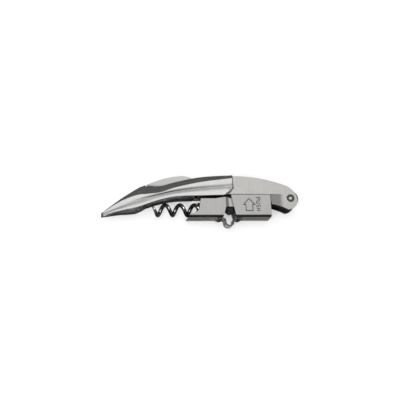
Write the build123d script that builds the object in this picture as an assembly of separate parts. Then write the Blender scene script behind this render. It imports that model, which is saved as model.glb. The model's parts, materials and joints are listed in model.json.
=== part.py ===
from build123d import *
import os
from math import cos, pi, sin, sqrt

# Stepped lever corkscrew, folded and lying on its side.
# Drawn with x along the handle towards the tail, y towards the back and z = 0 on its mid-plane.
# Sizes are in millimetres.

# Worm
worm_d = 8.6
wire_d = 2.4
worm_pitch = 9.0
worm_turns = 4.25
worm_tip_x = -31.5
worm_point_d = 0.7
worm_gap = 0.3
shank_lead = 5.0
hub_d = 5.2
hub_wall = 0.6
hub_socket = 3.5
hub_relief = 0.15
worm_washer_thick = 0.3

# Pivots, as seen from the side
worm_pivot = (18.0, -6.5)
tail_pivot = (55.4, -0.4)
knife_pivot = (12.0, 9.6)
step_pivot = (24.5, -4.0)
worm_pin_d = 2.4
knife_pin_d = 2.4
step_pin_d = 2.4
tail_rivet_d = 3.0
tail_head_d = 4.8
tail_head_height = 0.8
tail_dish_depth = 0.4
tail_nub_d = 1.8
running_clearance = 0.05
press_clearance = 0.02

# Sheet metal
sheet = 1.0
bend_radius = 1.5
plate_thick = 1.2
layer_gap = 0.2
moving_gap = 0.3

# Side plates
plate_top_y = 13.6
plate_low_y = 2.2
plate_back_mid = (38.0, 11.9)
plate_back_end = (52.0, 7.9)
tail_crown = (57.6, 4.0)
tail_eye = (53.6, -1.3)
tail_eye_r = 6.2
tongue_left_x = -3.0
tongue_top_y = 5.6
skirt_low = (44.6, -4.2)
skirt_mid = (49.6, -5.7)
skirt_dish = 0.7
skirt_dish_end_x = 49.6

# Frame between the plates
spine_start_x = 23.0
spine_end_x = 50.0
spine_thick = 1.6
spine_inset = 0.4
yoke_left_x = 12.0
yoke_right_x = 26.0
yoke_top_y = 5.6
yoke_bottom_y = 2.6
yoke_arm_r = 2.4
frame_pin_d = 2.0
frame_pin_y = 3.9
frame_pin_x = (0.0, 14.5)
spacer_d = 3.2
leaf_width = 5.0
leaf_thick = 0.6
leaf_root_x = 25.0
leaf_tip_x = 50.4
leaf_rivet_inset = 2.5
leaf_rivet_d = 1.6

# Rear lever step
rear_lip_x = 18.0
rear_lip_slant = 2.4
rear_web_start_x = 21.2
rear_end_x = 42.7
ear_root_x = 36.5
ear_low_y = -3.4
tail_ear_r = 5.2
tail_bush_d = 8.8
bracket_right_x = 31.0
bracket_arm_r = 2.4

# Front lever step
front_left_x = -0.8
front_top_y = -0.5
front_top_rise = 1.0
front_rise_start_x = 8.0
front_wall_end_x = 14.6
front_hook_y = -5.4
front_hook_mid = (-3.0, -8.2)
front_hook_x = -6.8
front_web_start_x = -9.2
front_web_end_x = 12.6
front_relief_y = -6.0
step_joggle_length = 1.9
step_ear_low_y = -5.4
step_ear_r = 2.8

# Bow spring between the two webs
bow_thick = 0.7
bow_width = 7.0
bow_tab = 4.0
bow_turn_r = 1.3
bow_loop_r = 2.5
bow_loop_x = 16.7
bow_leg = 0.7
bow_seat_gap = 0.05
bow_rivet_d = 1.5
bow_rivet_head_d = 2.2
bow_rivet_head = 0.5
bow_rivet_z = 1.9

# Foil blade
blade_thick = 1.5
blade_gap = 0.3
blade_tip_gap = 0.5
blade_tip = (-33.0, 9.2)
blade_back_mid = (-21.0, 13.5)
blade_crest = (-11.0, 15.0)
blade_fall_mid = (-7.0, 14.4)
blade_fall = (-2.5, 12.4)
blade_edge_y = 7.1
blade_edge_x = -29.0
blade_edge_thick = 0.3
grind_height = 2.4
grind_end_x = 2.0
tang_r = 2.6
knife_washer_d = 4.6

# Grip: stations along the handle with the heights of its edges
# Each row holds x, then the top, shoulder, crease, lower edge and keel
grip_end_x = 19.8
grip_tip_x = -61.0
grip_proud = 0.9
grip_taper = 0.83
grip_stations = (
    (grip_tip_x, -8.5, -8.8, -9.4, -10.0, -10.9),
    (-50.0, -0.4, -1.9, -4.8, -7.4, -9.1),
    (-39.5, 6.4, 2.1, -1.4, -5.4, -8.0),
    (-34.0, 9.0, 2.6, -0.2, -3.7, -5.1),
    (-26.0, 8.0, 3.4, 1.7, -1.2, -2.3),
    (-16.0, 10.4, 6.4, 3.6, 0.7, -0.3),
    (0.0, 13.5, 9.8, 5.5, 1.2, 0.3),
    (grip_end_x, 14.6, 12.4, 7.1, 1.8, 1.0),
)
grip_sections = 28
facet_lean = 0.55
shoulder_share = 0.85
lower_share = 0.965
keel_share = 0.62
grip_corner_r = 6.0
pocket_left_x = -4.5
pocket_fit = 0.05
slot_floor_y = 6.7
groove_left_x = -34.0
groove_right_x = -10.0

# Sizes that follow from those above
axis_y = worm_pivot[1]
coil_r = (worm_d - wire_d) / 2
wall_inner = worm_d / 2 + worm_gap
channel_half = wall_inner + sheet
web_top = axis_y - worm_d / 2 - worm_gap
web_low = web_top - sheet
plate_inner = channel_half - plate_thick
tail_ear_outer = plate_inner - layer_gap
tail_ear_inner = tail_ear_outer - sheet
step_ear_outer = wall_inner - layer_gap
step_ear_inner = step_ear_outer - sheet
arm_outer = step_ear_inner - moving_gap
arm_inner = arm_outer - sheet
hub_half = arm_inner - worm_washer_thick
rear_top_y = plate_low_y - moving_gap
grip_half = channel_half + grip_proud
slot_half = blade_thick / 2 + blade_gap
through = 2 * grip_half


def face_of(*points):
    """A flat face with straight sides through the given points."""
    return make_face(Polyline(*points, close=True))


def slab(shape, low, high):
    """A side-view shape made solid between two heights above the mid-plane."""
    return extrude(Pos(0, 0, low) * shape, amount=high - low)


def full_width(shape, half):
    """A side-view shape made solid over the same width on both sides of the mid-plane."""
    return slab(shape, -half, half)


def both_sides(part):
    """A part with its mirror image across the mid-plane."""
    return part + mirror(part, about=Plane.XY)


def disc(centre, diameter, half):
    """A round bar across the handle."""
    return Pos(*centre) * Cylinder(diameter / 2, 2 * half)


def ring(centre, outer_d, inner_d, low, high):
    """A washer across the handle between two heights."""
    return slab(Pos(*centre) * (Circle(outer_d / 2) - Circle(inner_d / 2)), low, high)


def box_of(left, right, low, high):
    """A side-view rectangle between two stations and two heights."""
    return Pos((left + right) / 2, (low + high) / 2) * Rectangle(right - left, high - low)


# Worm

def coil_point(angle):
    """Centre of the wire after turning through the angle from the point."""
    along = worm_tip_x + worm_pitch * angle / (2 * pi)
    return Vector(along, axis_y + coil_r * cos(angle), coil_r * sin(angle))


def coil_heading(angle):
    """Direction of the wire there."""
    return Vector(worm_pitch / (2 * pi), -coil_r * sin(angle), coil_r * cos(angle)).normalized()


def biarc(start, heading, end, end_heading):
    """Two arcs that join end to end and keep both directions."""
    run = end - start
    both = heading + end_heading
    spread = 2 * (1 - heading.dot(end_heading))
    reach = (-run.dot(both) + sqrt(run.dot(both) ** 2 + spread * run.dot(run))) / spread
    joint = (start + end + (heading - end_heading) * reach) * 0.5
    first = TangentArc(start, joint, tangent=heading)
    return [first, TangentArc(joint, end, tangent=first % 1)]


def coil_arcs(first_quarter, last_quarter):
    """The wire's path over a run of quarter turns."""
    arcs = []
    for quarter in range(first_quarter, last_quarter):
        a = quarter * pi / 2
        b = a + pi / 2
        arcs += biarc(coil_point(a), coil_heading(a), coil_point(b), coil_heading(b))
    return arcs


def wire_section(point, heading, diameter):
    """Round section of the wire, square to its path."""
    return Plane(origin=point, z_dir=heading) * Circle(diameter / 2)


def least_gap():
    """Smallest clear distance between stretches half a turn or more apart, measured on points."""
    per_turn = 48
    points = [coil_point(2 * pi * i / per_turn) for i in range(int(worm_turns * per_turn) + 1)]
    pairs = [(p, q) for i, p in enumerate(points) for q in points[i + per_turn // 2:]]
    return min((p - q).length for p, q in pairs) - wire_d


def make_worm():
    quarters = round(worm_turns * 4)
    taper = Wire(coil_arcs(0, 2))
    begin = wire_section(coil_point(0), coil_heading(0), worm_point_d)
    full = wire_section(coil_point(pi), coil_heading(pi), wire_d)
    point = sweep([begin, full], path=taper, multisection=True)
    end_angle = quarters * pi / 2
    last = coil_point(end_angle)
    shank_start = Vector(last.X + shank_lead, axis_y, 0)
    shank_end = Vector(worm_pivot[0] - hub_d / 2 + hub_wall, axis_y, 0)
    lead = biarc(last, coil_heading(end_angle), shank_start, Vector(1, 0, 0))
    path = Wire(coil_arcs(2, quarters) + lead + [Line(shank_start, shank_end)])
    coil = sweep(full, path=path)
    return point + coil


def make_worm_hub():
    eye = disc(worm_pivot, hub_d, hub_half)
    socket_x = worm_pivot[0] - hub_d / 2 + hub_wall - hub_socket
    length = worm_pivot[0] - socket_x
    boss_r = hub_half - hub_relief
    boss = Pos(socket_x + length / 2, axis_y, 0) * Rot(0, 90, 0) * Cylinder(boss_r, length)
    hole = disc(worm_pivot, worm_pin_d + 2 * running_clearance, through)
    bore_r = wire_d / 2 + press_clearance
    bore = Pos(socket_x + hub_socket / 2, axis_y, 0) * Rot(0, 90, 0) * Cylinder(bore_r, hub_socket)
    return eye + boss - hole - bore


# Handle frame

def plate_outline():
    """Side plate seen from the side: tongue, back edge, tail eye and the skirt in front of the eye."""
    right = (tail_eye[0] + tail_eye_r, tail_eye[1])
    bottom = (tail_eye[0], tail_eye[1] - tail_eye_r)
    lower_right = (tail_eye[0] + tail_eye_r * sqrt(0.5), tail_eye[1] - tail_eye_r * sqrt(0.5))
    start = (grip_end_x, plate_top_y)
    edges = [
        ThreePointArc(start, plate_back_mid, plate_back_end),
        ThreePointArc(plate_back_end, tail_crown, right),
        ThreePointArc(right, lower_right, bottom),
        ThreePointArc(bottom, skirt_mid, skirt_low),
        Polyline(skirt_low, (rear_end_x, skirt_low[1]), (rear_end_x, plate_low_y),
                 (tongue_left_x, plate_low_y), (tongue_left_x, tongue_top_y), (grip_end_x, tongue_top_y), start),
    ]
    return make_face(edges)


def lever_sweep():
    """Side-view space below the plates' seam that the lever's panel sweeps as it swings about the tail."""
    reach = tail_pivot[0] - rear_end_x - moving_gap
    below = box_of(tongue_left_x, tail_pivot[0], -through - tail_eye_r, plate_low_y)
    return below - Pos(*tail_pivot) * Circle(reach)


def skirt_hollow():
    """Wedge taken off the skirt's outer face, deepest beside the lever's panel."""
    start = rear_end_x
    profile = face_of((start, plate_low_y, channel_half - skirt_dish),
                      (skirt_dish_end_x, plate_low_y, channel_half), (start, plate_low_y, channel_half))
    return extrude(profile, amount=plate_low_y + through, dir=(0, -1, 0))


def make_side_plate(side):
    plate = slab(plate_outline() - lever_sweep(), plate_inner, channel_half) - skirt_hollow()
    if side < 0:
        plate = mirror(plate, about=Plane.XY)
    plate -= disc(tail_pivot, tail_rivet_d + 2 * press_clearance, through)
    seat_floor = channel_half - tail_head_height
    seat = sorted((side * seat_floor, side * through))
    plate -= slab(Pos(*tail_pivot) * Circle(tail_head_d / 2 + press_clearance), *seat)
    for x in frame_pin_x:
        plate -= disc((x, frame_pin_y), frame_pin_d + 2 * press_clearance, through)
    return plate


def make_tail_rivet():
    shank = disc(tail_pivot, tail_rivet_d, channel_half - tail_head_height)
    head = slab(Pos(*tail_pivot) * Circle(tail_head_d / 2), channel_half - tail_head_height, channel_half)
    rim_d = tail_head_d - 2 * tail_dish_depth
    dish = ring(tail_pivot, rim_d, tail_nub_d, channel_half - tail_dish_depth, through)
    return shank + both_sides(head - dish)


def back_edge_y(x):
    """Height of the plates' back edge, on a parabola through the three points of its arc."""
    share = (x - grip_end_x) / (plate_back_end[0] - grip_end_x)
    chord = plate_top_y + share * (plate_back_end[1] - plate_top_y)
    mid_share = (plate_back_mid[0] - grip_end_x) / (plate_back_end[0] - grip_end_x)
    mid_chord = plate_top_y + mid_share * (plate_back_end[1] - plate_top_y)
    bow = (plate_back_mid[1] - mid_chord) / (mid_share * (1 - mid_share))
    return chord + bow * share * (1 - share)


def make_back_spine():
    stops = (spine_start_x, (spine_start_x + spine_end_x) / 2, spine_end_x)
    top = [(x, back_edge_y(x) - spine_inset) for x in stops]
    low = [(x, y - spine_thick) for x, y in top]
    edges = [ThreePointArc(*top), Line(top[2], low[2]), ThreePointArc(*reversed(low)), Line(low[0], top[0])]
    spine = full_width(make_face(edges), plate_inner)
    return spine - leaf_rivet(leaf_rivet_d + 2 * press_clearance)


def leaf_top_y(x):
    """Height of the leaf spring's upper face, which falls from under the spine to the tail bush."""
    root_y = back_edge_y(leaf_root_x) - spine_inset - spine_thick - moving_gap
    tip_y = tail_pivot[1] + tail_bush_d / 2 + moving_gap + leaf_thick
    return root_y + (tip_y - root_y) * (x - leaf_root_x) / (leaf_tip_x - leaf_root_x)


def leaf_rivet(diameter):
    """Upright rivet through the spine and the leaf near its root."""
    x = leaf_root_x + leaf_rivet_inset
    top = back_edge_y(x) - spine_inset - leaf_thick
    low = leaf_top_y(x) - 2 * leaf_thick
    return Pos(x, (top + low) / 2, 0) * Rot(90, 0, 0) * Cylinder(diameter / 2, top - low)


def make_lever_spring():
    top = [(x, leaf_top_y(x)) for x in (leaf_root_x, leaf_tip_x)]
    low = [(x, y - leaf_thick) for x, y in reversed(top)]
    strip = full_width(face_of(*top, *low), leaf_width / 2)
    return strip - leaf_rivet(leaf_rivet_d + 2 * press_clearance)


def make_worm_yoke():
    block = full_width(box_of(yoke_left_x, yoke_right_x, yoke_bottom_y, yoke_top_y), plate_inner)
    x = worm_pivot[0]
    strap = box_of(x - yoke_arm_r, x + yoke_arm_r, axis_y, yoke_top_y)
    strap += Pos(*worm_pivot) * Circle(yoke_arm_r)
    yoke = block + both_sides(slab(strap, arm_inner, arm_outer))
    yoke -= disc(worm_pivot, worm_pin_d + 2 * press_clearance, through)
    return yoke - disc((frame_pin_x[1], frame_pin_y), frame_pin_d + 2 * press_clearance, through)


def make_front_spacer():
    centre = (frame_pin_x[0], frame_pin_y)
    return ring(centre, spacer_d, frame_pin_d + 2 * press_clearance, -plate_inner, plate_inner)


def make_frame_pins():
    return [disc((x, frame_pin_y), frame_pin_d, channel_half) for x in frame_pin_x]


# Levers

def channel_section(top):
    """Bent sheet section of a lever step, open towards the handle."""
    height = top - web_low
    outer = Pos(web_low + height / 2, 0) * Rectangle(height, 2 * channel_half)
    inner = Pos(web_top + height / 2, 0) * Rectangle(height, 2 * wall_inner)
    outer = fillet(outer.vertices().group_by(Axis.X)[0], bend_radius)
    inner = fillet(inner.vertices().group_by(Axis.X)[0], bend_radius - sheet)
    return outer - inner


def channel(top, left, right):
    """The section drawn out along the handle."""
    return extrude(Plane.YZ.offset(left) * channel_section(top), amount=right - left)


def joggle(start, end, stop, outer, low, high):
    """One wall that steps inwards between two stations and runs on to a third."""
    inner = outer - sheet
    profile = [(start, channel_half), (end, outer), (stop, outer),
               (stop, inner), (end, inner), (start, wall_inner)]
    shape = face_of(*[(x, low, z) for x, z in profile])
    return extrude(shape, amount=high - low, dir=(0, 1, 0))


def make_rear_channel():
    walls = channel(rear_top_y, rear_lip_x, rear_end_x)
    lip_low = web_low + bend_radius
    lip_x = rear_lip_x + rear_lip_slant
    outline = face_of((rear_lip_x, rear_top_y), (rear_end_x, rear_top_y), (rear_end_x, web_low),
                      (rear_web_start_x, web_low), (lip_x, lip_low))
    walls &= full_width(outline, through)
    strap = box_of(ear_root_x, tail_pivot[0], ear_low_y, rear_top_y) + Pos(*tail_pivot) * Circle(tail_ear_r)
    ear = slab(strap, tail_ear_inner, tail_ear_outer)
    ear += slab(box_of(ear_root_x, rear_end_x, ear_low_y, rear_top_y), tail_ear_outer, channel_half)
    rear = walls + both_sides(ear)
    rear -= disc(tail_pivot, tail_rivet_d + 2 * running_clearance, through)
    return rear - bow_rivets(rear_rivet_x(), bow_rivet_d + 2 * press_clearance, 0)


def make_tail_bush():
    return ring(tail_pivot, tail_bush_d, tail_rivet_d + 2 * running_clearance,
                -tail_ear_inner, tail_ear_inner)


def make_hinge_bracket():
    left = step_pivot[0] - bracket_arm_r
    base = full_width(box_of(left, bracket_right_x, web_top, web_top + sheet), arm_outer)
    arm = box_of(left, step_pivot[0] + bracket_arm_r, web_top, step_pivot[1])
    arm += Pos(*step_pivot) * Circle(bracket_arm_r)
    bracket = base + both_sides(slab(arm, arm_inner, arm_outer))
    bracket -= disc(step_pivot, step_pin_d + 2 * press_clearance, through)
    return bracket


def front_outline():
    """Front step's wall and web seen from the side."""
    top_end = front_top_y + front_top_rise
    hook = (front_hook_x, web_top + bend_radius)
    edges = [
        Polyline((front_web_start_x, web_low), (front_web_end_x, web_low), (front_wall_end_x, front_relief_y),
                 (front_wall_end_x, top_end), (front_rise_start_x, front_top_y),
                 (front_left_x, front_top_y), (front_left_x - sheet, front_hook_y)),
        ThreePointArc((front_left_x - sheet, front_hook_y), front_hook_mid, hook),
        Line(hook, (front_web_start_x, web_low)),
    ]
    return make_face(edges)


def make_front_channel():
    walls = channel(front_top_y + front_top_rise, front_web_start_x, front_wall_end_x)
    walls &= full_width(front_outline(), through)
    joggle_end = front_wall_end_x + step_joggle_length
    stop = step_pivot[0] + step_ear_r
    ear_high = front_top_y + front_top_rise
    ear = joggle(front_wall_end_x, joggle_end, stop, step_ear_outer, step_ear_low_y, ear_high)
    strap = face_of((front_wall_end_x, step_ear_low_y), (step_pivot[0], step_pivot[1] - step_ear_r),
                    (step_pivot[0], step_pivot[1] + step_ear_r), (front_wall_end_x, ear_high))
    ear &= full_width(strap, through)
    ear += slab(Pos(*step_pivot) * Circle(step_ear_r), step_ear_inner, step_ear_outer)
    front = walls + both_sides(ear)
    front -= disc(step_pivot, step_pin_d + 2 * running_clearance, through)
    return front - bow_rivets(front_rivet_x(), bow_rivet_d + 2 * press_clearance, 0)


# Bow spring

def bow_path():
    """Middle line of the strip: a tab under each web and a round loop between them."""
    seat = web_low - bow_seat_gap - bow_thick / 2
    side = bow_loop_r
    lip = side + bow_turn_r
    foot = seat - bow_turn_r
    sink = foot - bow_leg
    x = bow_loop_x
    return [
        Line((x - lip - bow_tab, seat), (x - lip, seat)),
        TangentArc((x - lip, seat), (x - side, foot), tangent=(1, 0)),
        Line((x - side, foot), (x - side, sink)),
        ThreePointArc((x - side, sink), (x, sink - side), (x + side, sink)),
        Line((x + side, sink), (x + side, foot)),
        TangentArc((x + side, foot), (x + lip, seat), tangent=(0, 1)),
        Line((x + lip, seat), (x + lip + bow_tab, seat)),
    ]


def front_rivet_x():
    return bow_loop_x - bow_loop_r - bow_turn_r - bow_tab / 2


def rear_rivet_x():
    return bow_loop_x + bow_loop_r + bow_turn_r + bow_tab / 2


def bow_rivets(x, diameter, head_d):
    """Rivets through a web and the strip's tab, with a head under the tab when one is asked for."""
    under = web_low - bow_seat_gap - bow_thick
    solids = []
    for z in (-bow_rivet_z, bow_rivet_z):
        upright = Rot(90, 0, 0)
        shank = Pos(x, (web_top + under) / 2, z) * upright * Cylinder(diameter / 2, web_top - under)
        if head_d:
            shank += Pos(x, under - bow_rivet_head / 2, z) * upright * Cylinder(head_d / 2, bow_rivet_head)
        solids.append(shank)
    return solids


def make_bow_spring():
    strip = full_width(trace(bow_path(), line_width=bow_thick), bow_width / 2)
    strip -= bow_rivets(front_rivet_x(), bow_rivet_d + 2 * running_clearance, 0)
    return strip - bow_rivets(rear_rivet_x(), bow_rivet_d + 2 * running_clearance, 0)


# Foil blade

def edge_grind():
    """Wedge ground off one side of the blade along its edge."""
    side = blade_thick / 2
    edge = blade_edge_thick / 2
    x = blade_tip[0]
    top = (x, blade_edge_y + grind_height, side)
    wedge = face_of((x, blade_edge_y, edge), top, (x, blade_edge_y, side))
    return extrude(wedge, amount=grind_end_x - x, dir=(1, 0, 0))


def make_foil_blade():
    tang_top = (knife_pivot[0], knife_pivot[1] + tang_r)
    tang_low = (knife_pivot[0], blade_edge_y)
    edges = [
        ThreePointArc(blade_tip, blade_back_mid, blade_crest),
        ThreePointArc(blade_crest, blade_fall_mid, blade_fall),
        Polyline(blade_fall, tang_top, tang_low, (blade_edge_x, blade_edge_y), blade_tip),
    ]
    shape = make_face(edges) + Pos(*knife_pivot) * Circle(knife_pivot[1] - blade_edge_y)
    blade = full_width(shape, blade_thick / 2) - both_sides(edge_grind())
    return blade - disc(knife_pivot, knife_pin_d + 2 * running_clearance, through)


def thrust_washers(centre, outer_d, pin_d, low, high):
    """A pair of washers in the gaps beside a turning piece."""
    inner_d = pin_d + 2 * running_clearance
    upper = ring(centre, outer_d, inner_d, low + press_clearance, high - press_clearance)
    return [upper, mirror(upper, about=Plane.XY)]


# Grip

def edge_height(x, column):
    """Height of one of the grip's edges, on a smooth curve through its stations."""
    xs = [row[0] for row in grip_stations]
    ys = [row[column] for row in grip_stations]
    last = len(xs) - 1
    i = max(k for k in range(last) if xs[k] <= x)

    def slope(k):
        before = max(k - 1, 0)
        after = min(k + 1, last)
        return (ys[after] - ys[before]) / (xs[after] - xs[before])

    run = xs[i + 1] - xs[i]
    t = (x - xs[i]) / run
    rise = ys[i + 1] - ys[i]
    ease = t * t * (3 - 2 * t)
    bend = t * (1 - t) * ((1 - t) * slope(i) - t * slope(i + 1)) * run
    return ys[i] + ease * rise + bend


def grip_section(x):
    """Faceted cross-section: flat top, two bands on each side and a flat keel."""
    top, shoulder, crease, lower, keel = [edge_height(x, column) for column in range(1, 6)]
    half = grip_half * (1 - grip_taper * (min(x, 0) / grip_tip_x) ** 2)
    shoulder_half = shoulder_share * half
    top_half = shoulder_half - facet_lean * (top - shoulder)
    side = [(top_half, top), (shoulder_half, shoulder), (half, crease),
            (lower_share * half, lower), (keel_share * half, keel)]
    near = [(x, y, z) for z, y in side]
    far = [(x, y, -z) for z, y in reversed(side)]
    return face_of(*near, *far)


def lower_corner(beyond):
    """Side-view waste outside the round lower corner of the grip's tail end."""
    low = grip_stations[-1][4]
    centre_x = grip_end_x - grip_corner_r
    waste = box_of(centre_x, beyond, low - grip_corner_r, low + grip_corner_r)
    return waste - Pos(centre_x, low + grip_corner_r) * Circle(grip_corner_r)


def make_grip_shell():
    step = (grip_end_x - grip_tip_x) / (grip_sections - 1)
    shell = loft([grip_section(grip_tip_x + i * step) for i in range(grip_sections)], ruled=True)
    beyond = grip_end_x + through
    pocket = box_of(pocket_left_x, beyond, -through, tongue_top_y + pocket_fit)
    shell -= full_width(pocket, channel_half + pocket_fit)
    shell -= full_width(box_of(blade_tip[0] - blade_tip_gap, beyond, slot_floor_y, 2 * through), slot_half)
    roof = axis_y + worm_d / 2 + 2 * worm_gap
    shell -= full_width(box_of(groove_left_x, groove_right_x, -2 * through, roof), coil_r)
    shell -= full_width(lower_corner(beyond), through)
    return shell - disc(knife_pivot, knife_pin_d + 2 * press_clearance, knife_pin_half())


def knife_pin_half():
    """Half the length of the blade's pin, which ends inside the grip's walls."""
    return plate_inner


nodes = {
    "grip_shell": make_grip_shell(),
    "side_plate_near": make_side_plate(1),
    "side_plate_far": make_side_plate(-1),
    "back_spine": make_back_spine(),
    "worm_yoke": make_worm_yoke(),
    "front_spacer": make_front_spacer(),
    "frame_pins": make_frame_pins(),
    "tail_rivet": make_tail_rivet(),
    "worm_pin": disc(worm_pivot, worm_pin_d, arm_outer),
    "knife_pin": disc(knife_pivot, knife_pin_d, knife_pin_half()),
    "lever_spring": make_lever_spring(),
    "lever_spring_rivet": leaf_rivet(leaf_rivet_d),
    "rear_channel": make_rear_channel(),
    "tail_bush": make_tail_bush(),
    "hinge_bracket": make_hinge_bracket(),
    "hinge_pin": disc(step_pivot, step_pin_d, wall_inner - layer_gap / 2),
    "rear_spring_rivets": bow_rivets(rear_rivet_x(), bow_rivet_d, bow_rivet_head_d),
    "front_channel": make_front_channel(),
    "front_spring_rivets": bow_rivets(front_rivet_x(), bow_rivet_d, bow_rivet_head_d),
    "bow_spring": make_bow_spring(),
    "worm": make_worm(),
    "worm_hub": make_worm_hub(),
    "worm_washers": thrust_washers(worm_pivot, hub_d - hub_wall, worm_pin_d, hub_half, arm_inner),
    "foil_blade": make_foil_blade(),
    "knife_washers": thrust_washers(knife_pivot, knife_washer_d, knife_pin_d, blade_thick / 2, slot_half),
}


def as_compound(shape):
    """All the solids of a sub-part as one compound."""
    pieces = shape if isinstance(shape, list) else [shape]
    return Compound([solid for piece in pieces for solid in piece.solids()])


# The origin goes under the middle of the whole tool, which lies on its far side
shapes = {name: as_compound(shape) for name, shape in nodes.items()}
whole = Compound([solid for shape in shapes.values() for solid in shape.solids()]).bounding_box()
middle = whole.center()
place = Pos(-middle.X, -middle.Y, -whole.min.Z)

os.makedirs("parts", exist_ok=True)
for name, shape in shapes.items():
    export_step(place * shape, f"parts/{name}.step")

print("least gap between turns", round(least_gap(), 2))
for name, pivot in (("tail", tail_pivot), ("worm", worm_pivot), ("knife", knife_pivot), ("step", step_pivot)):
    print(name, "pivot", [round(v, 3) for v in (pivot[0] - middle.X, pivot[1] - middle.Y, -whole.min.Z)])
print("size", whole.size)
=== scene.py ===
import bmesh
import bpy
import json
import numpy as np
from math import radians
from mathutils import Matrix, Vector


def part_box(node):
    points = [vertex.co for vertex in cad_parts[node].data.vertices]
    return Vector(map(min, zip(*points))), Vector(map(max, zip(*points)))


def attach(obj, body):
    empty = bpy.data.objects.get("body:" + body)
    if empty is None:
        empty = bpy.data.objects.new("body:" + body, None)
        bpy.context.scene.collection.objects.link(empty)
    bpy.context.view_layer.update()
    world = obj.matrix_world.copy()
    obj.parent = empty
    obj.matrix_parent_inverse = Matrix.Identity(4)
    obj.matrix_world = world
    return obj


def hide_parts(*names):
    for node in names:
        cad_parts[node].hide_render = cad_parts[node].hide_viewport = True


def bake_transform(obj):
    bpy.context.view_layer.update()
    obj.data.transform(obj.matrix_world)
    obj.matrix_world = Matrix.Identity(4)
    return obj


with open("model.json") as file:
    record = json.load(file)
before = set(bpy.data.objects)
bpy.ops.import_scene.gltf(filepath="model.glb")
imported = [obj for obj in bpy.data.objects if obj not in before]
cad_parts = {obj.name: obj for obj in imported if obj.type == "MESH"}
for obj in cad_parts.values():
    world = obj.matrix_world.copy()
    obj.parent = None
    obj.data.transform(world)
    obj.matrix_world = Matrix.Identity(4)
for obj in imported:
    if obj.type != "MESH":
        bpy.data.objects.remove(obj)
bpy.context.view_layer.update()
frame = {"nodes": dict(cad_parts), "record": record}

MM = 0.001


# Places taken from the frame

def middle(node):
    """Centre of a CAD node's box, in metres."""
    low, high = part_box(node)
    return (Vector(low) + Vector(high)) / 2


TAIL = middle("tail_rivet")
PANEL_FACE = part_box("rear_channel")[1][2]
WORM_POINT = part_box("worm")[0][0]
GRIP_LOW, GRIP_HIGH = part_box("grip_shell")
GRIP_MIDDLE = (GRIP_LOW[2] + GRIP_HIGH[2]) / 2
GRIP_HALF = (GRIP_HIGH[2] - GRIP_LOW[2]) / 2

# The grip's drawing: where it starts to narrow, the share of its width that its tip loses, and the shares of
# the half width at which its upper and its lower side bands begin
NARROWS_AT = TAIL.x - 55.4 * MM
GRIP_TAPER = 0.83
SHOULDER_SHARE = 0.85
LOWER_SHARE = 0.965
SECTIONS = 28

# The grip's finish: numbers of its bands, their hollows, and its rounded tail end
UPPER, LOWER = 1, 2
FLUTE_DEPTH = 0.24 * MM
STRIPS = 8
END_FOOT = TAIL.y + 2.6 * MM
END_CORNER = 6.0 * MM
END_ROUND = 2.6 * MM
END_DROP = 0.35 * MM
END_CUTS = 7

# Edges: the rounding on small pieces, the angle from which an edge is rounded, in degrees, the bevel's weight
# on the casting, and the gap that is closed where triangles meet
FINE_ROUND = 0.1 * MM
CREASE = 30
LIGHT_BEVEL = 0.2
WELD_GAP = 0.01 * MM

# Share of its colour that sheet keeps on its inside, where shade is painted, and the thickness of a mark
INSIDE_SHADE_SHARE = 0.14
INK_DEPTH = 0.01 * MM


# Shader building blocks

def feed(tree, node, inputs):
    """Sets or links each named input of a shader node."""
    for name, value in inputs.items():
        if isinstance(value, bpy.types.NodeSocket):
            tree.links.new(value, node.inputs[name])
        else:
            node.inputs[name].default_value = value


def put(tree, kind, inputs=None, **settings):
    """One shader node, with its settings made and its inputs fed."""
    made = tree.nodes.new(kind)
    for name, value in settings.items():
        setattr(made, name, value)
    feed(tree, made, inputs or {})
    return made


def sum_of(tree, kind, *values):
    """The outcome of one sum on values or sockets."""
    return put(tree, "ShaderNodeMath", dict(enumerate(values)), operation=kind).outputs[0]


def vector_sum(tree, kind, one, two):
    """The outcome of one sum on two vectors."""
    return put(tree, "ShaderNodeVectorMath", {0: one, 1: two}, operation=kind).outputs["Vector"]


def length_of(tree, vector):
    """A vector's length."""
    return put(tree, "ShaderNodeVectorMath", {0: vector}, operation="LENGTH").outputs["Value"]


def object_place(tree):
    """A point's place in its piece's own frame."""
    return put(tree, "ShaderNodeTexCoord").outputs["Object"]


def axes_of(tree, vector):
    """A vector's three parts."""
    return put(tree, "ShaderNodeSeparateXYZ", {"Vector": vector}).outputs


def from_mid_plane(tree):
    """A point's place along the tool and across it, and its distance from the tool's mid-plane."""
    axes = axes_of(tree, object_place(tree))
    return axes["X"], axes["Y"], sum_of(tree, "ABSOLUTE", sum_of(tree, "SUBTRACT", axes["Z"], TAIL.z))


def graded(tree, value, start, end, low=0.0, high=1.0, course="LINEAR"):
    """Goes from low to high while a value goes from a start to an end, and stays level beyond them."""
    made = put(tree, "ShaderNodeMapRange", {"Value": value, "From Min": start, "From Max": end,
                                            "To Min": low, "To Max": high}, interpolation_type=course)
    return made.outputs["Result"]


def ranged(tree, value, low, high):
    """A 0 to 1 value spread between two limits."""
    return graded(tree, value, 0.0, 1.0, low, high)


def step_down(tree, value, start, end):
    """A mask that falls smoothly from 1 to 0 as a value goes from a start to an end."""
    return graded(tree, value, start, end, 1.0, 0.0, "SMOOTHSTEP")


def step_up(tree, value, start, end):
    """A mask that rises smoothly from 0 to 1 as a value goes from a start to an end."""
    return graded(tree, value, start, end, 0.0, 1.0, "SMOOTHSTEP")


def mixed(tree, factor, one, two, blend="MIX"):
    """One colour with another mixed into it by a factor."""
    made = put(tree, "ShaderNodeMix", {0: factor, 6: one, 7: two}, data_type="RGBA", blend_type=blend)
    return made.outputs[2]


def tinted(tree, factor, dark, light):
    """A colour between two tints."""
    return mixed(tree, factor, (*dark, 1), (*light, 1))


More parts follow.
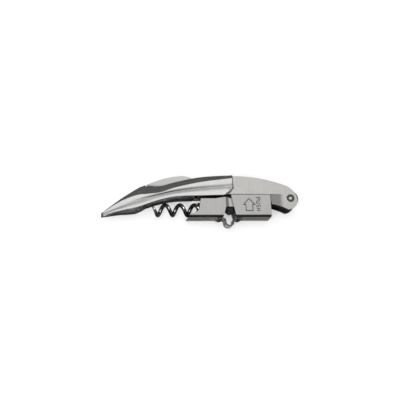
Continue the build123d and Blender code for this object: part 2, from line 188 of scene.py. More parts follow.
def stretched_noise(tree, stretch, detail, place=None, roughness=0.6):
    """Noise on Object coordinates, or on a place made from them, drawn out by an amount along each axis."""
    if place is None:
        place = object_place(tree)
    spread = vector_sum(tree, "MULTIPLY", place, stretch)
    noise = put(tree, "ShaderNodeTexNoise",
                {"Vector": spread, "Scale": 1.0, "Detail": detail, "Roughness": roughness})
    return noise.outputs["Fac"]


def new_group(name, inputs, outputs):
    """An empty shader node group with named sockets."""
    group = bpy.data.node_groups.new(name, "ShaderNodeTree")
    for label, kind in inputs:
        group.interface.new_socket(label, in_out="INPUT", socket_type=kind)
    for label in outputs:
        group.interface.new_socket(label, in_out="OUTPUT", socket_type="NodeSocketFloat")
    return group, group.nodes.new("NodeGroupInput"), group.nodes.new("NodeGroupOutput")


def brushed_lines_group():
    """Brushing: fine and coarse lines drawn out along one axis, added in proportion, and a broad cloud."""
    group, into, out = new_group("brushed_lines", [("Stretch", "NodeSocketVector")], ["Lines", "Cloud"])
    stretch = into.outputs["Stretch"]
    coarse_stretch = vector_sum(group, "MULTIPLY", stretch, (0.23, 0.23, 0.23))
    coarse = sum_of(group, "MULTIPLY", stretched_noise(group, coarse_stretch, 2.0), 0.45)
    lines = sum_of(group, "MULTIPLY_ADD", stretched_noise(group, stretch, 4.0), 0.55, coarse)
    feed(group, out, {"Lines": lines, "Cloud": stretched_noise(group, (90, 90, 90), 2.0)})
    return group


def handling_group():
    """Marks of use: hairline scratches in two slanting directions, and dull finger smudges."""
    group, into, out = new_group("handling_marks", [("Density", "NodeSocketFloat")], ["Scratches", "Smudge"])
    place = object_place(group)
    masks = []
    for slant in (0.45, -0.8):
        turned = put(group, "ShaderNodeVectorRotate", {"Vector": place, "Angle": slant},
                     rotation_type="Z_AXIS")
        hairs = stretched_noise(group, (160, 9000, 9000), 1.0, turned.outputs[0], 0.5)
        masks.append(graded(group, hairs, 0.66, 0.74))
    scratches = sum_of(group, "MULTIPLY", sum_of(group, "MAXIMUM", *masks), into.outputs["Density"])
    feed(group, out, {"Scratches": scratches, "Smudge": stretched_noise(group, (130, 130, 130), 3.0)})
    return group


BRUSHED = brushed_lines_group()
HANDLING = handling_group()


def new_material(name):
    """A material with a Principled shader on its output; gives the material, its tree and the shader."""
    material = bpy.data.materials.new(name)
    material.use_nodes = True
    tree = material.node_tree
    tree.nodes.clear()
    shader = put(tree, "ShaderNodeBsdfPrincipled")
    put(tree, "ShaderNodeOutputMaterial", {"Surface": shader.outputs["BSDF"]})
    return material, tree, shader


def bumped(tree, shader, height, depth):
    """Raises the surface by a height value times a depth in metres."""
    bump = put(tree, "ShaderNodeBump", {"Height": height, "Strength": 1.0, "Distance": depth})
    feed(tree, shader, {"Normal": bump.outputs["Normal"]})


def shaded(material, mask, share):
    """Darkens a metal to a share of its colour where a mask is 1."""
    tree = material.node_tree
    shader = next(n for n in tree.nodes if n.type == "BSDF_PRINCIPLED")
    colour = shader.inputs["Base Color"].links[0].from_socket
    feed(tree, shader, {"Base Color": mixed(tree, mask, colour, (share, share, share, 1), "MULTIPLY")})


# Finishes of the tool

def brushed_metal(name, stretch, dark, light, smooth, rough, depth):
    """Brushed sheet: lines in colour, roughness and height, with smudges that dull it here and there."""
    material, tree, shader = new_material(name)
    brushing = put(tree, "ShaderNodeGroup", {"Stretch": stretch}, node_tree=BRUSHED).outputs
    marks = put(tree, "ShaderNodeGroup", {"Density": 0.35}, node_tree=HANDLING).outputs
    tone = sum_of(tree, "MULTIPLY_ADD", brushing["Cloud"], 0.35, brushing["Lines"])
    dulled = sum_of(tree, "MULTIPLY", brushing["Lines"], marks["Smudge"])
    feed(tree, shader, {"Base Color": tinted(tree, graded(tree, tone, 0.35, 1.0), dark, light),
                        "Roughness": ranged(tree, dulled, smooth, rough),
                        "Metallic": 0.85})
    bumped(tree, shader, sum_of(tree, "SUBTRACT", brushing["Lines"], marks["Scratches"]), depth)
    return material


def grip_inset(tree):
    """How far a point lies inside the grip's widest line, as a share of the half width there.

    The half width is full from the tail end to where the grip starts to narrow, and from there to the beak's
    tip it narrows with the square of the distance."""
    along, _, side = from_mid_plane(tree)
    past = sum_of(tree, "MINIMUM", sum_of(tree, "SUBTRACT", along, NARROWS_AT), 0.0)
    run = sum_of(tree, "DIVIDE", past, NARROWS_AT - GRIP_LOW[0])
    narrowing = sum_of(tree, "MULTIPLY", sum_of(tree, "MULTIPLY", run, run), GRIP_TAPER)
    half = sum_of(tree, "MULTIPLY", sum_of(tree, "SUBTRACT", 1.0, narrowing), GRIP_HALF)
    return sum_of(tree, "SUBTRACT", 1.0, sum_of(tree, "DIVIDE", side, half))


def end_rim(tree):
    """A mask of the grip's rim at its tail end, about 0.6 mm wide, on which a dark reflection is painted: the
    end's outline is a straight line with a rounded lower corner, as it is in the shape."""
    along, across, side = from_mid_plane(tree)
    beside = sum_of(tree, "MAXIMUM", sum_of(tree, "SUBTRACT", along, GRIP_HIGH[0] - END_CORNER), 0.0)
    below = sum_of(tree, "MAXIMUM", sum_of(tree, "SUBTRACT", END_FOOT + END_CORNER, across), 0.0)
    below = sum_of(tree, "MULTIPLY", below, step_up(tree, beside, 0.0, 1.2 * MM))
    square = sum_of(tree, "ADD", sum_of(tree, "POWER", beside, 2.0), sum_of(tree, "POWER", below, 2.0))
    reach = sum_of(tree, "SQRT", square)
    rim = step_up(tree, reach, END_CORNER - 0.9 * MM, END_CORNER - 0.3 * MM)
    return sum_of(tree, "MULTIPLY", rim, step_up(tree, side, 5.2 * MM, 5.5 * MM))


def polished_casting():
    """Bright plated casting: a mirror with faint polishing waves, hairlines and smudges.

    Inside its groove, slot and pocket, which lie well in from its sides and don't face the back, it is left
    rough, and dark as painted shade. Its underside is satin over the worm, the rim at its tail end carries a
    painted dark reflection, and the blunt tip of its beak is drawn dark."""
    material, tree, shader = new_material("polished_casting")
    marks = put(tree, "ShaderNodeGroup", {"Density": 0.5}, node_tree=HANDLING).outputs
    along = from_mid_plane(tree)[0]
    upward = axes_of(tree, put(tree, "ShaderNodeNewGeometry").outputs["Normal"])["Y"]
    unpolished_and_shaded_inside = sum_of(tree, "MULTIPLY", sum_of(tree, "GREATER_THAN", grip_inset(tree), 0.36),
                 sum_of(tree, "LESS_THAN", upward, 0.4))
    satin = sum_of(tree, "MULTIPLY", sum_of(tree, "LESS_THAN", upward, -0.5),
                   step_up(tree, along, WORM_POINT - 1 * MM, WORM_POINT + 3 * MM))
    bright = tinted(tree, marks["Smudge"], (0.65, 0.645, 0.635), (0.79, 0.785, 0.775))
    polish = ranged(tree, sum_of(tree, "MAXIMUM", marks["Scratches"], marks["Smudge"]), 0.11, 0.26)
    rough = sum_of(tree, "MAXIMUM", sum_of(tree, "MULTIPLY", satin, 0.4), sum_of(tree, "MULTIPLY", unpolished_and_shaded_inside, 0.55))
    # The dark colour inside the hollows is painted shade; the roughness there is that of unpolished metal
    feed(tree, shader, {"Base Color": mixed(tree, unpolished_and_shaded_inside, bright, (0.10, 0.10, 0.10, 1)),
                        "Roughness": sum_of(tree, "MAXIMUM", polish, rough),
                        "Metallic": 1.0})
    wave = sum_of(tree, "MULTIPLY", stretched_noise(tree, (60, 110, 110), 1.0), 0.03 * MM)
    bumped(tree, shader, wave, 1.0)
    # Painted dark reflection on the rim of the grip's tail end
    shaded(material, end_rim(tree), 0.22)
    shaded(material, step_down(tree, along, GRIP_LOW[0] + 0.7 * MM, GRIP_LOW[0] + 1.5 * MM), 0.3)
    return material


def dished_plate():
    """Brushed side plate, with a painted dark reflection in the dished skirt in front of its tail eye, and
    painted shade on its inside."""
    material = brushed_metal("brushed_plate", (7000, 500, 7000), (0.45, 0.44, 0.427), (0.61, 0.60, 0.582),
                             0.28, 0.44, 0.006 * MM)
    tree = material.node_tree
    along, across, side = from_mid_plane(tree)
    # Painted dark reflection in the dished skirt in front of the tail eye
    before_eye = step_down(tree, along, TAIL.x - 7.4 * MM, TAIL.x - 4.0 * MM)
    below_seam = step_down(tree, across, TAIL.y + 2.2 * MM, TAIL.y + 2.8 * MM)
    shaded(material, sum_of(tree, "MULTIPLY", before_eye, below_seam), 0.45)
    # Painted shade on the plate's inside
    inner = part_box("side_plate_near")[0][2] - TAIL.z
    shaded(material, step_down(tree, side, inner + 0.02 * MM, inner + 0.3 * MM), INSIDE_SHADE_SHARE)
    return material


def bent_sheet():
    """Brushed lever sheet: painted dark reflection along its two bends, painted shade on its inside."""
    material = brushed_metal("brushed_lever", (7000, 450, 7000), (0.39, 0.385, 0.376), (0.52, 0.51, 0.50),
                             0.26, 0.42, 0.006 * MM)
    tree = material.node_tree
    along, across, side = from_mid_plane(tree)
    low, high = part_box("rear_channel")
    web = low[1]
    half = (high[2] - low[2]) / 2
    # Painted dark reflection along the two bends
    near_web = step_down(tree, across, web + 1.0 * MM, web + 1.5 * MM)
    near_wall = step_up(tree, side, half - 1.5 * MM, half - 1.1 * MM)
    shaded(material, sum_of(tree, "MULTIPLY", near_web, near_wall), 0.06)
    # Painted shade on the sheet's inside, away from its ears
    inside = sum_of(tree, "MULTIPLY", step_down(tree, side, half - 0.75 * MM, half - 0.55 * MM),
                    step_up(tree, across, web + 0.35 * MM, web + 0.5 * MM))
    off_ears = sum_of(tree, "ADD", step_down(tree, along, TAIL.x - 42 * MM, TAIL.x - 41 * MM),
                      step_up(tree, along, TAIL.x - 27.6 * MM, TAIL.x - 27.2 * MM))
    shaded(material, sum_of(tree, "MULTIPLY", inside, off_ears), INSIDE_SHADE_SHARE)
    return material


def sheared_strip():
    """Bright spring strip, darker on its cut edges, which are its faces parallel to the mid-plane."""
    material = brushed_metal("spring_strip", (4000, 4000, 300), (0.5, 0.49, 0.48), (0.68, 0.67, 0.66),
                             0.12, 0.3, 0.003 * MM)
    tree = material.node_tree
    sideways = axes_of(tree, put(tree, "ShaderNodeNewGeometry").outputs["Normal"])["Z"]
    shaded(material, graded(tree, sum_of(tree, "ABSOLUTE", sideways), 0.4, 0.9), 0.1)
    return material


def coated_wire():
    """Dark slippery coating on the worm, rubbed grey towards its point."""
    material, tree, shader = new_material("coated_wire")
    rubbed = graded(tree, from_mid_plane(tree)[0], WORM_POINT, WORM_POINT + 9 * MM, 1.0, 0.0)
    speck = stretched_noise(tree, (900, 900, 900), 3.0)
    wear = sum_of(tree, "MULTIPLY", rubbed, speck)
    feed(tree, shader, {"Base Color": tinted(tree, wear, (0.006, 0.006, 0.007), (0.06, 0.06, 0.06)),
                        "Roughness": ranged(tree, speck, 0.3, 0.45),
                        "Specular IOR Level": 0.05,
                        "Coat Weight": 1.0,
                        "Coat Roughness": 0.05})
    bumped(tree, shader, speck, 0.008 * MM)
    return material


def etched_mark():
    """Dark laser mark with an uneven, slightly matt surface."""
    material, tree, shader = new_material("etched_mark")
    speck = stretched_noise(tree, (2500, 2500, 2500), 2.0)
    feed(tree, shader, {"Base Color": tinted(tree, speck, (0.03, 0.03, 0.03), (0.09, 0.085, 0.08)),
                        "Roughness": ranged(tree, speck, 0.5, 0.75)})
    bumped(tree, shader, speck, 0.01 * MM)
    return material


def rivet_with_painted_ring():
    """Turned rivet: bright nub and rim, with the ring between them painted dark as shade in its dish."""
    material, tree, shader = new_material("rivet_with_painted_ring")
    # The dark ring between nub and rim is painted shade
    offset = vector_sum(tree, "SUBTRACT", object_place(tree), tuple(TAIL))
    radius = length_of(tree, vector_sum(tree, "MULTIPLY", offset, (1, 1, 0)))
    from_ring = sum_of(tree, "ABSOLUTE", sum_of(tree, "SUBTRACT", radius, 1.75 * MM))
    bright = graded(tree, from_ring, 0.65 * MM, 0.85 * MM)
    speck = stretched_noise(tree, (1800, 1800, 1800), 3.0)
    uneven = sum_of(tree, "MULTIPLY_ADD", speck, 0.25, bright)
    feed(tree, shader, {"Base Color": tinted(tree, uneven, (0.02, 0.02, 0.02), (0.62, 0.61, 0.6)),
                        "Roughness": ranged(tree, speck, 0.18, 0.4),
                        "Metallic": 1.0})
    bumped(tree, shader, speck, 0.008 * MM)
    return material


CASTING = polished_casting()
PLATE = dished_plate()
LEVER = bent_sheet()
STRIP = sheared_strip()
COATING = coated_wire()
RIVET = rivet_with_painted_ring()
MARK = etched_mark()
TURNED = brushed_metal("turned_steel", (1500, 1500, 9000), (0.36, 0.355, 0.35), (0.56, 0.555, 0.55),
                       0.2, 0.42, 0.004 * MM)
GROUND = brushed_metal("ground_blade", (6000, 350, 6000), (0.47, 0.465, 0.455), (0.62, 0.61, 0.6),
                       0.26, 0.44, 0.005 * MM)
# Near-black steel on the inner pieces, which stands in for the shade they lie in: painted shade
SHADE_DARK_STEEL = brushed_metal("shade_dark_steel", (1500, 1500, 9000), (0.012, 0.012, 0.013), (0.035, 0.035, 0.037),
                      0.28, 0.5, 0.004 * MM)
BRASS = brushed_metal("plain_brass", (2500, 2500, 2500), (0.5, 0.36, 0.14), (0.68, 0.52, 0.24),
                      0.25, 0.45, 0.003 * MM)


# Shapes

def all_of(items, name, width=1, kind=float):
    """One value, or a row of values, of every item in a mesh."""
    values = np.empty(len(items) * width, kind)
    items.foreach_get(name, values)
    return values.reshape(-1, width) if width > 1 else values


def welded_mesh(node):
    """A copy of a CAD node's triangles with shared corners merged and every face smooth."""
    mesh = frame["nodes"][node].data.copy()
    work = bmesh.new()
    work.from_mesh(mesh)
    bmesh.ops.remove_doubles(work, verts=work.verts, dist=WELD_GAP)
    bmesh.ops.dissolve_limit(work, angle_limit=radians(0.2), verts=work.verts, edges=work.edges)
    work.to_mesh(mesh)
    work.free()
    mesh.polygons.foreach_set("use_smooth", np.ones(len(mesh.polygons), bool))
    return mesh


def round_edges(obj, width, crease=None):
    """Rounds the edges sharper than the crease angle, or else by their weights, and keeps the faces flat."""
    bevel = obj.modifiers.new("rounded_edges", "BEVEL")
    bevel.width = width
    bevel.segments = 3
    bevel.limit_method = "ANGLE" if crease else "WEIGHT"
    bevel.angle_limit = radians(crease or 0)
    bevel.harden_normals = True
    bevel.use_clamp_overlap = False
    merged = obj.modifiers.new("merged_corners", "WELD")
    merged.merge_threshold = 0.002 * MM
    weights = obj.modifiers.new("face_normals", "WEIGHTED_NORMAL")
    weights.keep_sharp = True


def edge_angles(mesh):
    """Angle in degrees between the two faces that meet on each edge: both faces of an edge are found by
    sorting the face corners by edge number; an edge without two faces counts as flat."""
    edge = all_of(mesh.loops, "edge_index", kind=int)
    corners = all_of(mesh.polygons, "loop_total", kind=int)
    normal = np.repeat(all_of(mesh.polygons, "normal", 3), corners, axis=0)
    order = np.argsort(edge, kind="stable")
    uses = np.bincount(edge, minlength=len(mesh.edges))
    first = np.cumsum(uses) - uses
    paired = uses == 2
    one = normal[order[first[paired]]]
    two = normal[order[first[paired] + 1]]
    angles = np.zeros(len(mesh.edges))
    angles[paired] = np.degrees(np.arccos(np.clip(np.sum(one * two, axis=1), -1, 1)))
    return angles


def half_width(x):
    """Half the grip's width at a place along it: full from the tail end to where it starts to narrow, and
    from there to the beak's tip narrowing with the square of the distance."""
    run = np.minimum(x - NARROWS_AT, 0) / (NARROWS_AT - GRIP_LOW[0])
    return GRIP_HALF * (1 - GRIP_TAPER * run ** 2)


def mark_bands(mesh):
    """Numbers the grip's faces by the side band that they belong to, above or below the crease, or else 0."""
    centre = all_of(mesh.polygons, "center", 3)
    normal = all_of(mesh.polygons, "normal", 3)
    side = centre[:, 2] - GRIP_MIDDLE
    share = np.abs(side) / half_width(centre[:, 0])
    outward = normal[:, 2] * np.sign(side) > 0.75
    rising = normal[:, 1] > 0.05
    upper = outward & rising & (share > SHOULDER_SHARE - 0.005)
    lower = outward & ~rising & (share > LOWER_SHARE - 0.002)
    bands = (UPPER * upper + LOWER * lower).astype(np.int32)
    mesh.attributes.new("band", "INT", "FACE").data.foreach_set("value", bands)


def cut_bands(mesh, cuts):
    """Cuts the faces of the chosen bands along planes, each given by its bands, a point and its normal."""
    work = bmesh.new()
    work.from_mesh(mesh)
    layer = work.faces.layers.int["band"]
    for bands, point, normal in cuts:
        faces = [face for face in work.faces if face[layer] in bands]
        edges = list({edge for face in faces for edge in face.edges})
        corners = list({corner for face in faces for corner in face.verts})
        bmesh.ops.bisect_plane(work, geom=faces + edges + corners, dist=0.002 * MM,
                               plane_co=point, plane_no=normal)
    work.to_mesh(mesh)
    work.free()


def end_drop(x, y):
    """Drop towards the grip's tail end: the end's outline is a straight line with a rounded lower corner, and
    the drop grows with the square of the nearness to that outline within its last END_ROUND."""
    beside = np.maximum(x - (GRIP_HIGH[0] - END_CORNER), 0)
    below = np.maximum(END_FOOT + END_CORNER - y, 0)
    fade = np.clip(beside / (4 * MM), 0, 1)
    below = below * fade ** 2 * (3 - 2 * fade)
    near = np.clip((np.hypot(beside, below) - (END_CORNER - END_ROUND)) / END_ROUND, 0, 1)
    return END_DROP * near ** 2


def flute_grip(mesh):
    """Hollows the grip's side bands and rounds its tail end.

    With each point's distance from the mid-plane given as a share of the half width there, every band lies
    between two fixed shares, so flat cuts divide it into strips. More cuts cross the last two sections before
    the tail end. Across a band the hollow is a parabola, as deep as FLUTE_DEPTH where the grip is full and
    less where it narrows. The drop at the tail end fades out towards the upper band's shoulder."""
    edges = {UPPER: SHOULDER_SHARE, LOWER: LOWER_SHARE}
    mark_bands(mesh)
    point = all_of(mesh.vertices, "co", 3)
    point[:, 2] = (point[:, 2] - GRIP_MIDDLE) / half_width(point[:, 0]) * GRIP_HALF
    mesh.vertices.foreach_set("co", point.ravel())
    cuts = [((band,), (0, 0, side * GRIP_HALF * (edge + (1 - edge) * k / STRIPS)), (0, 0, 1))
            for band, edge in edges.items() for k in range(1, STRIPS) for side in (-1, 1)]
    step = (GRIP_HIGH[0] - GRIP_LOW[0]) / (SECTIONS - 1) / END_CUTS
    cuts += [((UPPER, LOWER), (GRIP_HIGH[0] - step * k, 0, 0), (1, 0, 0)) for k in range(1, 2 * END_CUTS + 1)]
    cut_bands(mesh, cuts)
    point = all_of(mesh.vertices, "co", 3)
    corner = all_of(mesh.loops, "vertex_index", kind=int)
    count = all_of(mesh.polygons, "loop_total", kind=int)
    band_of = np.repeat(all_of(mesh.attributes["band"].data, "value", kind=np.int32), count)
    half = half_width(point[:, 0])
    share = np.abs(point[:, 2]) / GRIP_HALF
    drop = end_drop(point[:, 0], point[:, 1])
    inward = np.zeros(len(point))
    for band, edge in edges.items():
        member = np.zeros(len(point))
        member[corner[band_of == band]] = 1
        across = np.clip((1 - share) / (1 - edge), 0, 1)
        hollow = FLUTE_DEPTH * half / GRIP_HALF * 4 * across * (1 - across)
        kept = 1 - across ** 3 if band == UPPER else 1
        inward = np.maximum(inward, member * (hollow + kept * drop))
    point[:, 2] = GRIP_MIDDLE + np.sign(point[:, 2]) * (share * half - inward)
    mesh.vertices.foreach_set("co", point.ravel())
    mesh.attributes.remove(mesh.attributes["band"])
    mesh.update()


def weigh_grip_edges(mesh):
    """Bevel weights of the casting: light on its lengthwise creases and its cuts. Its tip, its blade slot and
    its tail end's rim are left sharp."""
    ends = all_of(mesh.vertices, "co", 3)[all_of(mesh.edges, "vertices", 2, int)]
    run = ends[:, 1] - ends[:, 0]
    lengthwise = np.abs(run[:, 0]) > 0.7 * np.linalg.norm(run, axis=1)
    angles = edge_angles(mesh)
    square = angles > 60
    first_x = ends[:, :, 0].min(axis=1)
    side = np.abs(ends[:, :, 2] - GRIP_MIDDLE)
    on_side = side.min(axis=1) > 5.75 * MM
    on_back = (ends[:, :, 1].min(axis=1) > TAIL.y + 8 * MM) & (side.min(axis=1) > 1.2 * MM)
    tail_end = (first_x > GRIP_HIGH[0] - 5.2 * MM) & square & (on_side | on_back)
    slot = (side.max(axis=1) < 1.6 * MM) & square
    at_tip = first_x < GRIP_LOW[0] + 2 * MM
    sharp = tail_end | slot | at_tip & (angles > 30)
    weight = np.where(lengthwise & (angles > 6) | square, LIGHT_BEVEL, 0.0)
    weight[sharp | at_tip] = 0.0
    mesh.attributes.new("bevel_weight_edge", "FLOAT", "EDGE").data.foreach_set("value", weight)
    mesh.attributes.new("sharp_edge", "BOOLEAN", "EDGE").data.foreach_set("value", sharp)


# Pieces

def dress(obj, material):
    """Gives a piece its one material."""
    obj.data.materials.clear()
    obj.data.materials.append(material)
    return obj


def new_piece(name, mesh, material):
    """A mesh linked to the scene with its finish."""
    obj = bpy.data.objects.new(name, mesh)
    bpy.context.scene.collection.objects.link(obj)
    return dress(obj, material)


def body_of(node):
    """The body that carries a node."""
    bodies = frame["record"]["behaviour"]["bodies"]
    return next(body for body, nodes in bodies.items() if node in nodes)


def finished(node, material, width=FINE_ROUND, rides=True):
    """A CAD node's surface as a piece of its own, with rounded edges, on the node's own body."""
    obj = new_piece(node + "_finish", welded_mesh(node), material)
    if node == "grip_shell":
        flute_grip(obj.data)
        weigh_grip_edges(obj.data)
        round_edges(obj, width)
    elif width:
        round_edges(obj, width, CREASE)
    if rides:
        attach(obj, body_of(node))
    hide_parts(node)
    return obj


def ribbon(points, width):
    """A flat stroke: each point of a path is set off to both sides along the mean normal of its two legs."""
    path = np.asarray(points, float)
    legs = np.diff(path, axis=0)
    legs /= np.linalg.norm(legs, axis=1, keepdims=True)
    normals = np.stack([-legs[:, 1], legs[:, 0]], axis=1)
    before = np.vstack([normals[:1], normals])
    after = np.vstack([normals, normals[-1:]])
    mean = before + after
    mean /= np.sum(mean * before, axis=1, keepdims=True)
    sides = np.stack([path + mean * width / 2, path - mean * width / 2], axis=1).reshape(-1, 2)
    first = 2 * np.arange(len(path) - 1)
    return sides, np.stack([first, first + 1, first + 3, first + 2], axis=1)


def mark_panel(name, strokes, width, place):
    """A mark on the near panel: flat ribbons moved by a place function and given a hair of thickness."""
    corners, faces, count = [], [], 0
    for stroke in strokes:
        sides, quads = ribbon(stroke, width)
        corners.append(place(sides))
        faces.append(quads + count)
        count += len(sides)
    on_panel = np.column_stack([np.vstack(corners), np.full(count, PANEL_FACE)])
    mesh = bpy.data.meshes.new(name)
    mesh.from_pydata(on_panel.tolist(), [], np.vstack(faces).tolist())
    mesh.update()
    obj = new_piece(name, mesh, MARK)
    ink = obj.modifiers.new("ink_depth", "SOLIDIFY")
    ink.thickness = INK_DEPTH
    ink.offset = 1.0
    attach(obj, "rear_lever")


def arc(centre, radius, start, end, count=9):
    """Points on a circle between two angles in degrees."""
    turn = np.radians(np.linspace(start, end, count))
    return np.column_stack([centre[0] + radius * np.cos(turn), centre[1] + radius * np.sin(turn)])


def arrow_stroke():
    """House-shaped arrow, as an outline on a unit 1 wide at its shoulders, pointing up."""
    right = [(0.0, 1.0), (0.5, 0.5), (0.3, 0.5), (0.3, 0.0)]
    left = [(-x, y) for x, y in reversed(right)]
    return [np.array(right + left)]


def letter_strokes():
    """The word PUSH in plain strokes, each letter in a box 0.7 wide and 1 high."""
    p = np.vstack([[(0, 0), (0, 1), (0.4, 1)], arc((0.4, 0.75), 0.25, 80, -90), [(0, 0.5)]])
    u = np.vstack([[(0, 1), (0, 0.3)], arc((0.3, 0.3), 0.3, 190, 350), [(0.6, 0.3), (0.6, 1)]])
    s = np.vstack([arc((0.32, 0.75), 0.25, 30, 260), arc((0.3, 0.26), 0.26, 80, -150)])
    h = [np.array([(0, 0), (0, 1)]), np.array([(0.6, 0), (0.6, 1)]), np.array([(0, 0.5), (0.6, 0.5)])]
    letters = [[p], [u], [s], h]
    return [stroke + (0.95 * i, 0) for i, letter in enumerate(letters) for stroke in letter]


finished("grip_shell", CASTING, 0.75 * MM)
for plate in ("side_plate_near", "side_plate_far"):
    finished(plate, PLATE, 0.15 * MM)
for step in ("rear_channel", "front_channel"):
    finished(step, LEVER, 0.12 * MM)
finished("foil_blade", GROUND)
worm = finished("worm", COATING, 0)
finished("worm_hub", COATING, 0.15 * MM)
finished("tail_rivet", RIVET)
# These inner pieces, and the worm pin and front spacer below, are near-black: painted shade
for node in ("worm_yoke", "hinge_bracket", "hinge_pin", "tail_bush",
             "front_spring_rivets", "rear_spring_rivets"):
    finished(node, SHADE_DARK_STEEL)
finished("back_spine", TURNED)
for finish, nodes in ((TURNED, ("frame_pins", "knife_pin", "lever_spring_rivet")),
                      (SHADE_DARK_STEEL, ("worm_pin", "front_spacer")),
                      (STRIP, ("lever_spring",)),
                      (BRASS, ("worm_washers", "knife_washers"))):
    for node in nodes:
        dress(frame["nodes"][node], finish)

# The bow spring, between the two lever steps, rides on neither of them
bow = finished("bow_spring", STRIP, rides=False)
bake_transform(bow)

# Marks on the near panel, placed from the tail rivet; the word reads downwards
ARROW_BASE = np.array([TAIL.x - 26.4 * MM, TAIL.y - 7.9 * MM])
ARROW_SIZE = np.array([7.1, 7.7]) * MM
WORD_START = np.array([TAIL.x - 21.9 * MM, TAIL.y + 0.4 * MM])
WORD_HEIGHT = 2.4 * MM
mark_panel("push_arrow", arrow_stroke(), 0.08, lambda p: ARROW_BASE + p * ARROW_SIZE)
mark_panel("push_word", letter_strokes(), 0.2,
           lambda p: WORD_START + np.column_stack([p[:, 1], -p[:, 0]]) * WORD_HEIGHT)


# Studio

def pale_floor():
    """Plain pale paper with a very faint grain that fades to white away from the tool; a grey table in
    reflections."""
    material, tree, shader = new_material("pale_floor")
    path = put(tree, "ShaderNodeLightPath").outputs
    grain = stretched_noise(tree, (700, 700, 700), 2.0)
    paper = tinted(tree, grain, (0.92, 0.92, 0.92), (0.95, 0.95, 0.95))
    table = mixed(tree, path["Is Glossy Ray"], paper, (0.27, 0.27, 0.27, 1))
    away = step_up(tree, length_of(tree, object_place(tree)), 0.15, 0.4)
    faded = sum_of(tree, "MULTIPLY", path["Is Camera Ray"], ranged(tree, away, 0.5, 1.0))
    feed(tree, shader, {"Base Color": mixed(tree, faded, table, (0, 0, 0, 1)),
                        "Emission Color": (1, 1, 1, 1),
                        "Emission Strength": faded,
                        "Roughness": 0.9,
                        "Specular IOR Level": 0.1})
    return material


def card_finish(name, low, high, start, end, axis="Z"):
    """A card that glows in a grey that grades from one level to another between two places on an axis,
    with a faint nap.
    """
    material, tree, shader = new_material(name)
    along = axes_of(tree, object_place(tree))[axis]
    nap = stretched_noise(tree, (40, 40, 40), 2.0)
    grey = sum_of(tree, "MULTIPLY_ADD", nap, 0.02, graded(tree, along, start, end, low, high, "SMOOTHSTEP"))
    feed(tree, shader, {"Base Color": (0, 0, 0, 1),
                        "Specular IOR Level": 0.0,
                        "Emission Color": (1, 1, 1, 1),
                        "Emission Strength": grey})
    return material


def flat_card(name, corners, material):
    """A four-cornered card that belongs to the studio."""
    mesh = bpy.data.meshes.new(name)
    mesh.from_pydata(corners, [], [(0, 1, 2, 3)])
    mesh.update()
    card = new_piece(name, mesh, material)
    return card


def reflected_card(name, corners, material):
    """A card that shows in reflections alone."""
    card = flat_card(name, corners, material)
    card.visible_camera = False
    card.visible_shadow = False
    card.visible_diffuse = False


def make_floor():
    """The pale floor that the tool lies on."""
    reach = 3.0
    corners = [(-reach, -reach, 0), (reach, -reach, 0), (reach, reach, 0), (-reach, reach, 0)]
    flat_card("floor", corners, pale_floor())


def make_flags():
    """Grey cards around the tool, each set by its reach along the tool and its low and high edge (y, z), and
    one that stands across the tool's tail."""
    felt = card_finish("dark_felt", 0.03, 0.05, 0.0, 0.3)
    grey = card_finish("tail_card", 0.12, 0.7, 0.2, 0.33)
    low_back = card_finish("low_back_card", 0.1, 0.35, 0.035, 0.058)
    high_back = card_finish("high_back_card", 0.35, 1.0, 0.18, 0.29)
    ceiling = card_finish("ceiling_card", 0.4, 1.0, -0.08, 0.12, "Y")
    beak_ceiling = card_finish("beak_ceiling_card", 0.3, 0.72, -0.12, 0.02, "X")
    under_lever = card_finish("lever_apron", 0.36, 0.03, -0.017, -0.0135, "Y")
    for name, finish, across, low, high in (
            ("low_back_card", low_back, (-0.13, 0.075), (0.075, 0.0), (0.075, 0.058)),
            ("high_back_card", high_back, (-0.3, 0.3), (0.25, 0.14), (0.25, 0.29)),
            ("ceiling_card", ceiling, (-0.25, 0.35), (-0.25, 0.6), (0.14, 0.6)),
            ("beak_ceiling_card", beak_ceiling, (-0.3, 0.02), (-0.4, 0.59), (0.14, 0.59)),
            ("keel_card", felt, (-0.2, 0.02), (-0.08, 0.0), (-0.08, 0.11)),
            ("keel_side_card", felt, (0.02, 0.1), (-0.08, 0.0), (-0.08, 0.055)),
            ("keel_apron", felt, (-0.2, 0.0), (-0.08, 0.0005), (-0.018, 0.0005)),
            ("lever_apron", under_lever, (-0.014, 0.06), (-0.018, 0.0004), (-0.0125, 0.0004))):
        corners = [(across[0], *low), (across[1], *low), (across[1], *high), (across[0], *high)]
        reflected_card(name, corners, finish)
    tail_corners = [(0.2, -0.03, 0), (0.2, 0.13, 0), (0.2, 0.13, 0.33), (0.2, -0.03, 0.33)]
    reflected_card("tail_card", tail_corners, grey)


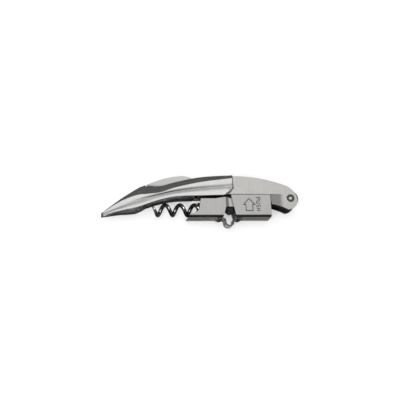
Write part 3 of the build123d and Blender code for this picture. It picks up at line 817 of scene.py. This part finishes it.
def make_world():
    """White to the camera, in reflections and to rays that pass through, and a softer grey as light."""
    world = bpy.data.worlds.new("studio")
    bpy.context.scene.world = world
    world.use_nodes = True
    tree = world.node_tree
    tree.nodes.clear()
    path = put(tree, "ShaderNodeLightPath").outputs
    seen = sum_of(tree, "MAXIMUM", path["Is Camera Ray"], path["Is Glossy Ray"])
    seen = sum_of(tree, "MAXIMUM", seen, path["Is Transmission Ray"])
    strength = ranged(tree, seen, 0.62, 1.0)
    light = put(tree, "ShaderNodeBackground", {"Color": (1, 1, 1, 1), "Strength": strength})
    put(tree, "ShaderNodeOutputWorld", {"Surface": light.outputs[0]})


def make_lamp(name, place, aim, size, energy):
    """A square soft lamp that faces a point."""
    data = bpy.data.lights.new(name, "AREA")
    data.shape = "SQUARE"
    data.size = size
    data.energy = energy
    lamp = bpy.data.objects.new(name, data)
    bpy.context.scene.collection.objects.link(lamp)
    lamp.location = place
    lamp.rotation_mode = "QUATERNION"
    lamp.rotation_quaternion = (Vector(aim) - Vector(place)).to_track_quat("-Z", "Y")
    return lamp


def make_glint(piece):
    """A lamp that glints on one piece's gloss alone."""
    lamp = make_lamp("worm_glint", (-0.02, 0.18, 0.46), (-0.02, 0, 0), 0.25, 10.0)
    lamp.visible_diffuse = False
    lit = bpy.data.collections.new("lit_by_glint")
    lit.objects.link(piece)
    lamp.light_linking.receiver_collection = lit


def make_camera():
    """Looks down on the tool from a little to the beak's end and the lever's side, with the back edge up."""
    back = Vector((-0.204, -0.29, 1.0)).normalized()
    right = (Vector((1, 0, 0)) - back * back.x).normalized()
    up = back.cross(right)
    view_width = 244 * MM
    lens, sensor = 100.0, 36.0
    aim = TAIL + Vector((-55.7, 0.4, 0)) * MM
    distance = view_width / 2 / (sensor / 2 / lens)
    data = bpy.data.cameras.new("camera")
    data.lens = lens
    data.sensor_width = sensor
    camera = bpy.data.objects.new("camera", data)
    bpy.context.scene.collection.objects.link(camera)
    turn = Matrix((right, up, back)).transposed().to_4x4()
    camera.matrix_world = Matrix.Translation(aim + back * distance) @ turn
    bpy.context.scene.camera = camera


make_floor()
make_flags()
make_world()
make_lamp("key", (-0.15, 0.25, 0.8), (0, 0, 0), 0.9, 5.5).visible_glossy = False
make_lamp("spark", (-0.25, -0.22, 0.45), (0, 0, 0), 0.06, 1.0)
make_glint(worm)
make_camera()
bpy.context.scene.view_settings.view_transform = "Standard"
